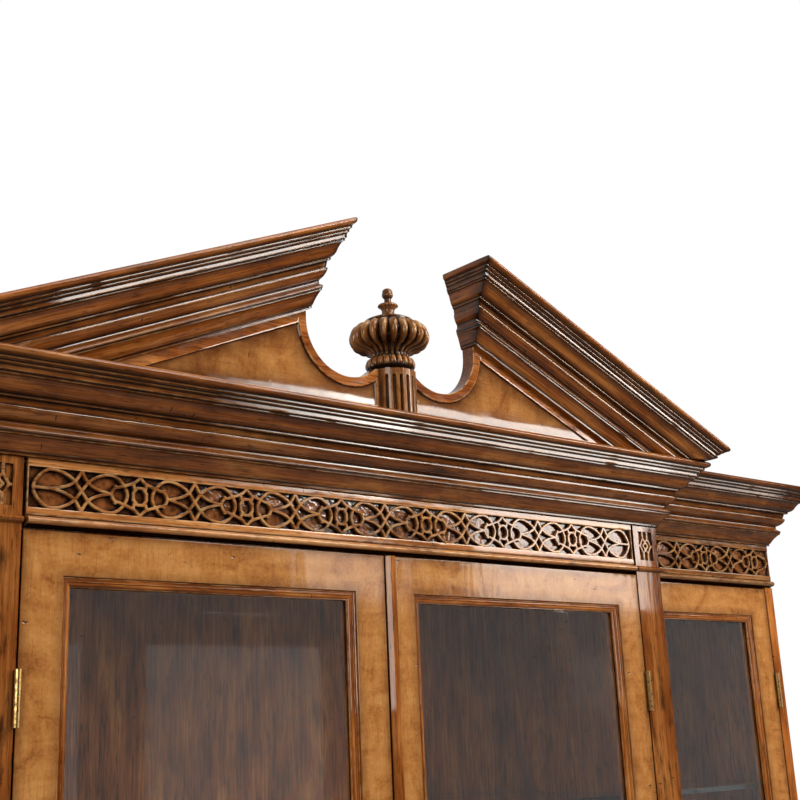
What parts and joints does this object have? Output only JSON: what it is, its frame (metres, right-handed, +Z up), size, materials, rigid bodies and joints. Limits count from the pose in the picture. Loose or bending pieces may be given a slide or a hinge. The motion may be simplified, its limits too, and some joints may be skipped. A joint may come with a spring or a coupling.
{
  "type": "china cabinet",
  "caption": "Breakfront china cabinet with a broken pediment, urn finial and fretwork frieze; glazed upper doors over glass shelves, panelled base doors.",
  "frame": {"origin": "on the floor, under the middle of the cabinet's box", "axes": "+Z up, the front faces -Y, +X to the right of someone facing the cabinet"},
  "size_m": [2.08, 0.5114, 2.4202],
  "materials": {
    "walnut": "satin lacquer over dark glaze, distressed",
    "burl": "satin lacquer on mottled honey veneer, distressed",
    "brass": "aged brass",
    "glass": "clear"
  },
  "bodies": {
    "case": {"upper_side_left": "walnut", "upper_side_right": "walnut", "upper_partition_left": "walnut", "upper_partition_right": "walnut", "upper_roof": "walnut", "upper_back": "walnut", "pilaster_left": "walnut", "pilaster_right": "walnut", "frieze_centre": "walnut", "frieze_wing_left": "walnut", "frieze_wing_right": "walnut", "cornice_centre": "walnut", "cornice_wing_left": "walnut", "cornice_wing_right": "walnut", "tympanum": "burl", "raking_cornice_left": "walnut", "raking_cornice_right": "walnut", "finial_plinth": "walnut", "finial": "burl", "shelf_lower_left": "glass", "shelf_lower_centre": "glass", "shelf_lower_right": "glass", "shelf_upper_left": "glass", "shelf_upper_centre": "glass", "shelf_upper_right": "glass", "hinge_lower_centre_left": "brass", "hinge_upper_centre_left": "brass", "hinge_lower_centre_right": "brass", "hinge_upper_centre_right": "brass", "hinge_lower_wing_left": "brass", "hinge_upper_wing_left": "brass", "hinge_lower_wing_right": "brass", "hinge_upper_wing_right": "brass", "base_plinth": "walnut", "base_floor": "walnut", "base_side_left": "walnut", "base_side_right": "walnut", "base_partition_left": "walnut", "base_partition_right": "walnut", "base_back": "walnut", "waist_board": "walnut"},
    "upper_centre_left": {"upper_door_centre_left": "burl", "pane_centre_left": "glass"},
    "upper_centre_right": {"upper_door_centre_right": "burl", "pane_centre_right": "glass", "astragal": "walnut", "upper_knob_centre": "brass"},
    "upper_wing_left": {"upper_door_wing_left": "burl", "pane_wing_left": "glass", "upper_knob_left": "brass"},
    "upper_wing_right": {"upper_door_wing_right": "burl", "pane_wing_right": "glass", "upper_knob_right": "brass"},
    "base_centre_left": {"base_door_centre_left": "burl"},
    "base_centre_right": {"base_door_centre_right": "burl", "base_knob_centre": "brass"},
    "base_wing_left": {"base_door_wing_left": "burl", "base_knob_left": "brass"},
    "base_wing_right": {"base_door_wing_right": "burl", "base_knob_right": "brass"}
  },
  "joints": [
    {"name": "upper_centre_left_hinge", "type": "hinge", "parent": "case", "child": "upper_centre_left", "pos_m": [-0.5198, -0.1486, 1.436], "axis": [0, 0, -1], "range_deg": [0, 105]},
    {"name": "upper_centre_right_hinge", "type": "hinge", "parent": "case", "child": "upper_centre_right", "pos_m": [0.5198, -0.1486, 1.436], "axis": [0, 0, 1], "range_deg": [0, 105]},
    {"name": "upper_wing_left_hinge", "type": "hinge", "parent": "case", "child": "upper_wing_left", "pos_m": [-0.9438, -0.0996, 1.436], "axis": [0, 0, -1], "range_deg": [0, 105]},
    {"name": "upper_wing_right_hinge", "type": "hinge", "parent": "case", "child": "upper_wing_right", "pos_m": [0.9438, -0.0996, 1.436], "axis": [0, 0, 1], "range_deg": [0, 105]},
    {"name": "base_centre_left_pivot", "type": "hinge", "parent": "case", "child": "base_centre_left", "pos_m": [-0.514, -0.1863, 0.481], "axis": [0, 0, -1], "range_deg": [0, 105]},
    {"name": "base_centre_right_pivot", "type": "hinge", "parent": "case", "child": "base_centre_right", "pos_m": [0.514, -0.1863, 0.481], "axis": [0, 0, 1], "range_deg": [0, 105]},
    {"name": "base_wing_left_pivot", "type": "hinge", "parent": "case", "child": "base_wing_left", "pos_m": [-0.938, -0.1373, 0.481], "axis": [0, 0, -1], "range_deg": [0, 105]},
    {"name": "base_wing_right_pivot", "type": "hinge", "parent": "case", "child": "base_wing_right", "pos_m": [0.938, -0.1373, 0.481], "axis": [0, 0, 1], "range_deg": [0, 105]}
  ]
}
